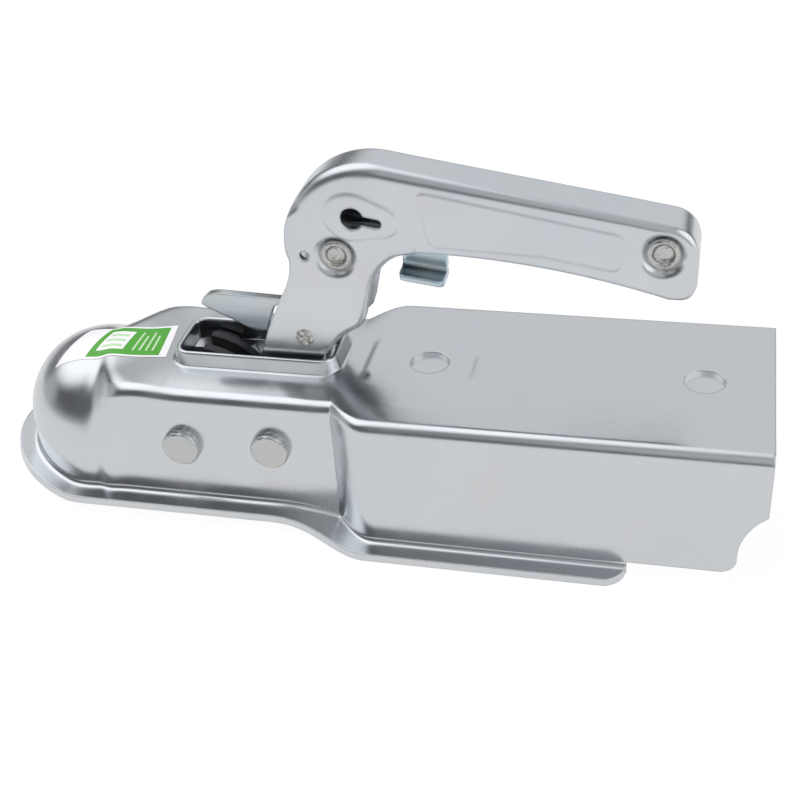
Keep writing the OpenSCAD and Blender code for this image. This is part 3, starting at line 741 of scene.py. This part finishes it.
def catch_spring():
    """Hooks through the lever's small hole, winds round the hollow rivet and bears on the catch."""
    r, y0, y1 = 5.35, -2.3, -3.8
    x, z = SPRING_HOLE
    cx, cz = CATCH_RIVET
    over = (14.0, 6.8)    # where the free leg lies on the catch, from the rivet
    a0 = 360 + math.degrees(math.atan2(z - cz, x - cx) - math.acos(r / math.hypot(x - cx, z - cz)))
    turns = 1 + (a0 % 360 - leave_angle(r, over, 0)) / 360
    path = [(x + 1.2, -8.0, z + 0.3), (x + 0.9, -7.4, z + 0.2), (x + 0.4, -6.4, z), (x, -4.4, z)]
    path += coil_points(CATCH_RIVET, r, y1, y0, a0, turns)
    path += [(cx + over[0], y0, cz + over[1]), (cx + over[0] + 0.3, y0 + 0.6, cz + over[1]),
             (cx + over[0] + 0.3, 1.8, cz + over[1])]
    obj = tube_along("catch_spring_wire", path, CATCH_WIRE_R)
    finish(obj, "lever_body", WIRE, ["catch_spring"], sharp=70)


# ---------------------------- hand lever
def lever_outline():
    """The lever's side view: points, and at each the reach of the web's bend and of the rolled rear edge."""
    bx, bz, bow_r = 104.5, 74.0, 27.7    # the bow's middle and radius
    end_r, end_x = 9.75, 195.5           # the grip's rounded end: radius, and its middle's place
    nose = (end_x, bz + (bow_r - end_r + (end_x - bx) * math.sin(GRIP_TILT)) / math.cos(GRIP_TILT))
    tail = (nose[0] + 4.45, nose[1] - 9.1)
    points, inset, rolled = [], [], []

    def add(some, depth=0.0, roll=0.0):
        for k, p in enumerate(some):
            if points and math.hypot(p[0] - points[-1][0], p[1] - points[-1][1]) < 0.05:
                continue
            points.append(p)
            t = k / max(len(some) - 1, 1)
            inset.append(depth(t) if callable(depth) else depth)
            rolled.append(roll(t) if callable(roll) else roll)

    add([(61.5, 12.1), (63.0, 26.0), (64.0, 32.9), (67.2, 41.5), (69.1, 45.5), (73.1, 54.2)])
    add(bezier((73.1, 54.2), (77.9, 62.0), (77.6, 68.5), 8)[1:])
    add(bezier((77.6, 68.5), (76.5, 71.5), (76.8, 74.0), 5)[1:])
    add(arc((bx, bz), bow_r, 180, 166, 5)[1:])
    add(arc((bx, bz), bow_r, 166, 148, 8)[1:], lambda t: 0.15 + (BOW_BEND - 0.15) * ease(t))
    add(arc((bx, bz), bow_r, 146, 90 - GRIP_FALL, 20), BOW_BEND)
    top_end = arc(nose, end_r, 90 - GRIP_FALL, 0, 14)
    bow_end = points[-1]
    add([tuple(mix(a, b, t) for a, b in zip(bow_end, top_end[0])) for t in (0.1, 0.25, 0.4, 0.55, 0.7, 0.85)],
        lambda t: mix(BOW_BEND, GRIP_BEND, t))
    add(top_end, GRIP_BEND)
    add(arc(tail, 5.3, 0, -62, 7)[1:], lambda t: GRIP_BEND - 2.2 * ease(t))
    add(arc(tail, 5.1, -68, -90, 3))
    add(bezier((tail[0] - 3, tail[1] - 5.1), (160.0, 73.0), (122.0, 73.4), 14))
    add(bezier((122.0, 73.4), (106.0, 72.0), (103.0, 56.0), 12)[1:],
        roll=lambda t: 0.2 + (ROLL - 0.2) * ease(3 * t))
    add([(101.6, 49.6), (100.2, 45.7), (98.4, 43.7), (95.4, 42.0)], roll=ROLL)
    add(bezier((95.4, 42.0), (90.0, 38.0), (86.6, 33.6), 5)[1:], roll=lambda t: ROLL * (1 - 0.9 * ease(t)))
    add([(85.6, 31.8), (81.5, 12.1)])
    add(arc(LEVER_PIVOT, 10.55, 10, -150, 14))
    add([(56.5, 6.4), (52.3, 13.6), (50.9, 16.9)])
    add(arc((56.0, 19.0), 5.5, 200, 100, 6))
    return points, inset, rolled


def lever_skin():
    """The lever's outer skin: two plates, the web bent round from one to the other, and rolled rear edges."""
    points, inset, rolled = lever_outline()
    normals = outward(points)
    reach = [max(pair) for pair in zip(inset, rolled)]
    base = [(x - nx * d, z - nz * d) for (x, z), (nx, nz), d in zip(points, normals, reach)]
    bend = [math.radians(a) for a in (0, 18, 36, 54, 72, 90)]

    def bent(i, side, d):
        (x, z), (nx, nz) = base[i], normals[i]
        return [(x + nx * d * math.sin(a), side * (LEVER_HALF - d * (1 - math.cos(a))),
                 z + nz * d * math.sin(a)) for a in bend]

    verts, faces = [], []

    def add(some, some_faces, flip=False):
        faces.extend(tuple(len(verts) + k for k in (face[::-1] if flip else face)) for face in some_faces)
        verts.extend(some)

    for side in (-1, 1):
        flat = [Vector((x, z, 0)) for x, z in base]
        add([(x, side * LEVER_HALF, z) for x, z in base], tessellate_polygon([flat]), flip=side > 0)
    web = [bent(i, -1, d) + bent(i, 1, d)[::-1] for i, d in enumerate(inset) if d > 0]
    add([p for row in web for p in row], grid_faces(len(web), 2 * len(bend)))
    for side in (-1, 1):
        edge = [bent(i, side, d) for i, d in enumerate(rolled) if d > 0]
        add([p for row in edge for p in row], grid_faces(len(edge), len(bend)), flip=side < 0)
    obj = mesh_object("hand_lever", verts, faces)
    face_out(obj)
    plate = max(obj.data.polygons, key=lambda f: f.area)
    if plate.normal.y * plate.center.y < 0:
        obj.data.flip_normals()
    return obj


def keyhole_cutter():
    """A round hole that runs out in a short slot along the grip."""
    x, z = KEYHOLE
    across, up = math.cos(GRIP_TILT), math.sin(GRIP_TILT)
    slot = [(x + u * across - v * up, z + u * up + v * across) for u, v in arc((8.0, 0), 1.5, -90, 90, 8)]
    return prism("cut_keyhole", arc(KEYHOLE, KEYHOLE_R, 14, 326, 30) + slot, -14, -2)


def softened(outline):
    """Puts a point between every two, on a smooth curve through their neighbours."""
    n = len(outline)
    smooth = []
    for i in range(n):
        before, p, q, after = (outline[(i + k) % n] for k in (-1, 0, 1, 2))
        smooth += [p, tuple((9 * (a + b) - (c + d)) / 16 for a, b, c, d in zip(p, q, before, after))]
    return smooth


def rounded_outline(corners, r, steps=6):
    """The corner points of an outline, each rounded by a radius."""
    points = []
    for i, corner in enumerate(corners):
        p, a, b = Vector(corner), Vector(corners[i - 1]), Vector(corners[(i + 1) % len(corners)])
        u, w = (a - p).normalized(), (b - p).normalized()
        half = u.angle(w) / 2
        start, end = p + u * r / math.tan(half), p + w * r / math.tan(half)
        points += bezier(tuple(start), tuple(p), tuple(end), steps)
    return points


def raised_pad(name, outline, height, slope):
    """A low pressed field on the lever's near plate: its rim slopes from the plate up to a flat top."""
    normals = outward(outline)
    rings = ((slope * 0.5, -0.25), (slope * 0.5, 0.0), (slope * 0.2, height * 0.25),
             (-slope * 0.2, height * 0.75), (-slope * 0.5, height), (-slope * 0.5 - 0.6, height))
    rows = [[(x + nx * grow, -(LEVER_HALF + rise), z + nz * grow)
             for (x, z), (nx, nz) in zip(outline, normals)] for grow, rise in rings]
    return skinned(name, rows, [[(x, z) for x, _, z in row] for row in (rows[0], rows[-1])])


def raised_top():
    """Long, low field along the top of the grip."""
    start, end, half = Vector((122.0, 97.35)), Vector((186.0, 86.05)), 4.6
    along = (end - start).normalized()
    up = Vector((-along.y, along.x))
    length = (end - start).length
    outline = rounded_outline([(0, -half), (length, -half), (length, half), (0, half)], 2.0)
    normals = outward(outline)
    rows = []
    for grow, rise in ((0.3, -0.5), (0.3, 0.0), (0.0, 0.12), (-0.3, 0.16)):
        row = []
        for (s, y), (ns, ny) in zip(outline, normals):
            spot = start + along * (s + ns * grow) + up * rise
            row.append((spot.x, y + ny * grow, spot.y))
        rows.append(row)
    return skinned("grip_top_field", rows, (outline, outline))


def lever():
    """The hand lever: its sheet, the holes and dishes in it, and the fields pressed up from it."""
    obj = lever_skin()
    wall = obj.modifiers.new("sheet", "SOLIDIFY")
    wall.thickness, wall.offset, wall.use_even_offset = LEVER_SHEET * MM, -1, True
    bake(obj)
    cutters = [keyhole_cutter(), prism("cut_spring_hole", circle(SPRING_HOLE, SPRING_HOLE_R, 24), -14, -2)]
    # (radius, height over the plate's inner face): the rivet's hole, the dish's floor and its drawn-in rim
    dish = [(0, -1.5), (4.3, -1.5), (4.3, 0.42), (5.1, 0.42), (5.5, 0.5), (6.0, 0.85), (6.5, 1.45),
            (7.0, 1.88), (7.6, 2.1), (8.3, 2.24), (8.9, 2.6), (0, 2.6)]
    for side in (-1, 1):
        for centre in (CATCH_RIVET, GRIP_RIVET):
            profile = [(r, side * (LEVER_HALF - LEVER_SHEET + h)) for r, h in dish]
            cutters.append(lathe("cut_dish", profile, centre, 48))
    cut(obj, cutters)
    pad = [(91.6, 86.6), (93.2, 89.6), (96.0, 91.4), (99.6, 92.0), (103.2, 91.2), (106.0, 89.8), (108.6, 88.6),
           (111.2, 87.2), (113.0, 85.2), (113.6, 82.8), (112.8, 80.6), (110.8, 79.2), (108.4, 78.6),
           (105.6, 78.4), (102.4, 77.8), (98.8, 77.4), (95.4, 78.3), (92.8, 80.6), (91.3, 83.6)]
    boss = raised_pad("keyhole_pad", softened(pad), 0.4, 1.5)
    cut(boss, [keyhole_cutter()])
    panel = rounded_outline([(120.4, 93.6), (182.9, 81.9), (181.6, 70.9), (158.8, 74.9), (124.6, 76.2)], 2.4)
    join_into(obj, [boss, raised_pad("grip_panel", panel, 0.06, 1.2), raised_top()])
    return finish(obj, "lever_body", ZINC_LEVER, ["lever"])


# ---------------------------- safety catch
def trigger_tab():
    """The catch's bent tab: flat, with rounded corners, and a round bend where it leaves the plate."""
    x0, z0, long, wide = 113.3, 65.4, 14.2, 8.6
    thick, bend = 2.2, 1.7
    corner_share, corner_in = 0.12, 1.6
    rows = []
    for s in (0.0, 0.04, 0.1, 0.2, 0.5, 0.8, 0.9, 0.96, 1.0):
        from_end = min(min(s, 1 - s) / corner_share, 1.0)
        reach = wide - corner_in * (1 - math.sqrt(max(1 - (1 - from_end) ** 2, 0.0)))
        x = x0 + long * s
        level = z0 + (x - x0) * math.tan(math.radians(-8))
        row = [(CATCH_HALF, 0.0), (CATCH_HALF, -thick + 0.5), (1.0, -thick), (-reach + 0.5, -thick),
               (-reach, -thick + 0.4), (-reach, -0.4), (-reach + 0.4, 0.0), (-CATCH_HALF - bend, 0.0),
               (-CATCH_HALF - bend * 0.45, bend * 0.13), (-CATCH_HALF - bend * 0.13, bend * 0.45),
               (-CATCH_HALF, bend)]
        rows.append([(x, y, level + z) for y, z in row])
    return skinned("trigger", rows)


def catch():
    """Flat plate between the lever's sides, with a toe in front, and its trigger tab."""
    toe = [(41.9, 45.6), (42.0, 46.9), (42.9, 48.2), (44.6, 49.4), (47.2, 50.05), (50.0, 50.1), (70.5, 49.3)]
    body = [(80.5, 58.1), (84.6, 69.0), (88.5, 77.0), (98.5, 78.4), (127.0, 75.6), (127.4, 75.0)]
    tab = [(127.5, 64.4), (126.9, 63.5), (113.9, 65.4), (113.3, 66.2), (113.3, 69.4), (100.5, 69.1)]
    under = [(96.5, 60.6), (86.5, 59.1), (67.5, 46.1), (64.0, 36.7), (61.0, 36.5), (58.4, 37.0), (53.4, 39.6),
             (50.5, 41.2), (46.8, 42.9), (43.7, 44.4)]
    obj = prism("safety_catch", toe + body + tab + under, -CATCH_HALF, CATCH_HALF)
    cut(obj, [prism("cut_bore", circle(CATCH_RIVET, CATCH_BORE_R, 48), -5, 5)])
    round_edges(obj, 0.45, 2, 50)
    join_into(obj, [trigger_tab()])
    return finish(obj, "catch_body", ZINC_CATCH, ["catch"], sharp=40)


housing()
label()
cross_rivet("jaw_cross_rivet", JAW_PIVOT, "jaw_rivet")
cross_rivet("lever_cross_rivet", LEVER_PIVOT, "lever_rivet")
lever_spring()
lever()
hollow_rivet("catch_hollow_rivet", CATCH_RIVET, "catch_rivet")
hollow_rivet("grip_hollow_rivet", GRIP_RIVET, "grip_rivet")
stop_rivet()
catch_spring()
catch()

for name, material in (("jaw", CAST), ("jaw_bush", BRONZE), ("lever_bush", BRONZE), ("catch_bush", BRONZE),
                       ("jaw_spacer_near", STEEL), ("jaw_spacer_far", STEEL), ("lever_spacer_near", STEEL),
                       ("lever_spacer_far", STEEL), ("drive_pin", STEEL), ("catch_washer", STEEL),
                       ("grip_spacer", STEEL), ("stop_spacer", STEEL)):
    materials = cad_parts[name].data.materials
    for i in range(len(materials)):
        materials[i] = material


# ---------------------------- floor, light and camera
def pale_floor():
    """White floor under the wide flange, which the camera sees plain but for the object's shadow."""
    side, low = 3.0, -0.0232
    mesh = bpy.data.meshes.new("floor")
    mesh.from_pydata([(-side, -side, low), (side, -side, low), (side, side, low), (-side, side, low)], [],
                     [(0, 1, 2, 3)])
    obj = bpy.data.objects.new("floor", mesh)
    bpy.context.scene.collection.objects.link(obj)
    material, tree, surface = shader("floor_white", metallic=0.0, roughness=0.9, colour=(0.86, 0.86, 0.86))
    path = node(tree, "ShaderNodeLightPath").outputs
    seen = maths(tree, "MAXIMUM", path["Is Camera Ray"], path["Is Glossy Ray"])
    level = spread(tree, path["Is Camera Ray"], 0.0, 1.0, 0.84, 1.04)
    glow = node(tree, "ShaderNodeEmission", [("Strength", level)])
    share = maths(tree, "MULTIPLY", seen, 0.92)
    blend = node(tree, "ShaderNodeMixShader", [(0, share), (1, surface), (2, glow)])
    tree.links.new(blend.outputs[0], tree.nodes["Material Output"].inputs["Surface"])
    mesh.materials.append(material)


def soft_box_group():
    """A soft-edged patch of light round one direction; cosines say how wide it is."""
    tree, given, out = add_group("soft_box", [
        ("Direction", "NodeSocketVector", None), ("Towards", "NodeSocketVector", (0, 0, 1)),
        ("Edge cosine", "NodeSocketFloat", 0.7), ("Core cosine", "NodeSocketFloat", 0.95)],
        [("Light", "NodeSocketFloat")])
    aim = node(tree, "ShaderNodeVectorMath", [(0, given["Direction"]), (1, given["Towards"])],
               operation="DOT_PRODUCT")
    patch = node(tree, "ShaderNodeMapRange", [
        (0, aim.outputs["Value"]), (1, given["Edge cosine"]), (2, given["Core cosine"])],
        interpolation_type="SMOOTHSTEP")
    tree.links.new(patch.outputs[0], out["Light"])
    return tree


def towards(azimuth, height):
    """Unit vector for a direction given in degrees."""
    a, h = math.radians(azimuth), math.radians(height)
    return (math.cos(h) * math.cos(a), math.cos(h) * math.sin(a), math.sin(h))


SOFT_BOXES = (
    # azimuth and height of the middle, core and edge half-angles, brightness
    (86, 36, 20, 38, 0.76),      # pale wall behind
    (72, 32, 16, 34, 0.2),       # its brighter right part
    (163, 60, 20, 46, 1.42),     # big box up on the left
    (60, 88, 12, 34, 0.58),      # overhead
    (-8, 30, 22, 46, 1.25),      # box on the right
    (-60, 40, 20, 44, 0.55),     # weak box in front, to the right
    (184, 8, 8, 24, 0.5),        # low light past the nose
)


def studio():
    """A dark room with large soft boxes; the camera sees plain white behind the object."""
    world = bpy.data.worlds.new("studio")
    world.use_nodes = True
    bpy.context.scene.world = world
    tree = world.node_tree
    back = tree.nodes["Background"]
    direction = node(tree, "ShaderNodeTexCoord").outputs["Generated"]
    boxes = soft_box_group()
    height = node(tree, "ShaderNodeSeparateXYZ", [(0, direction)]).outputs[2]
    total = spread(tree, height, 0.0, 0.2, 0.5, 0.12)
    for azimuth, rise, core, edge, level in SOFT_BOXES:
        box = node(tree, "ShaderNodeGroup", [
            ("Direction", direction), ("Towards", towards(azimuth, rise)),
            ("Edge cosine", math.cos(math.radians(edge))), ("Core cosine", math.cos(math.radians(core)))],
            node_tree=boxes)
        total = maths(tree, "MAXIMUM", total, maths(tree, "MULTIPLY", box, level))
    tree.links.new(total.outputs[0], back.inputs["Strength"])
    back.inputs["Color"].default_value = (0.97, 0.985, 1.0, 1)
    seen = node(tree, "ShaderNodeLightPath").outputs["Is Camera Ray"]
    white = node(tree, "ShaderNodeBackground", [("Color", (1, 1, 1, 1))])
    blend = node(tree, "ShaderNodeMixShader", [(0, seen), (1, back), (2, white)])
    tree.links.new(blend.outputs[0], tree.nodes["World Output"].inputs["Surface"])


def matt_lamp(name, place, aim, size, power):
    """A broad lamp for the sticker, the casting and the floor's shadow, not mirrored in the plate."""
    data = bpy.data.lights.new(name, "AREA")
    data.energy, data.size = power, size
    obj = bpy.data.objects.new(name, data)
    obj.location = place
    obj.rotation_euler = (Vector(aim) - Vector(place)).to_track_quat("-Z", "Y").to_euler()
    obj.visible_glossy = False
    bpy.context.scene.collection.objects.link(obj)


def photo_camera():
    """The camera fitted to the photo: its place, and which way its right and up edges point."""
    data = bpy.data.cameras.new("photo")
    data.lens, data.sensor_width, data.sensor_fit = 59.83, 36.0, "HORIZONTAL"
    data.clip_start, data.clip_end = 0.01, 20
    obj = bpy.data.objects.new("photo", data)
    right, up = Vector((0.97252, 0.22357, -0.06498)), Vector((-0.07559, 0.56716, 0.82013))
    back = right.cross(up)
    turn = Matrix((right, up, back)).transposed()
    obj.matrix_world = Matrix.Translation(Vector((0.208825, -0.361884, 0.270583))) @ turn.to_4x4()
    bpy.context.scene.collection.objects.link(obj)
    bpy.context.scene.camera = obj


pale_floor()
studio()
matt_lamp("overhead_left", (-0.25, -0.1, 0.9), (0.08, 0, 0.02), 0.7, 6)
photo_camera()
bpy.context.scene.view_settings.view_transform = "Standard"
bpy.context.view_layer.update()
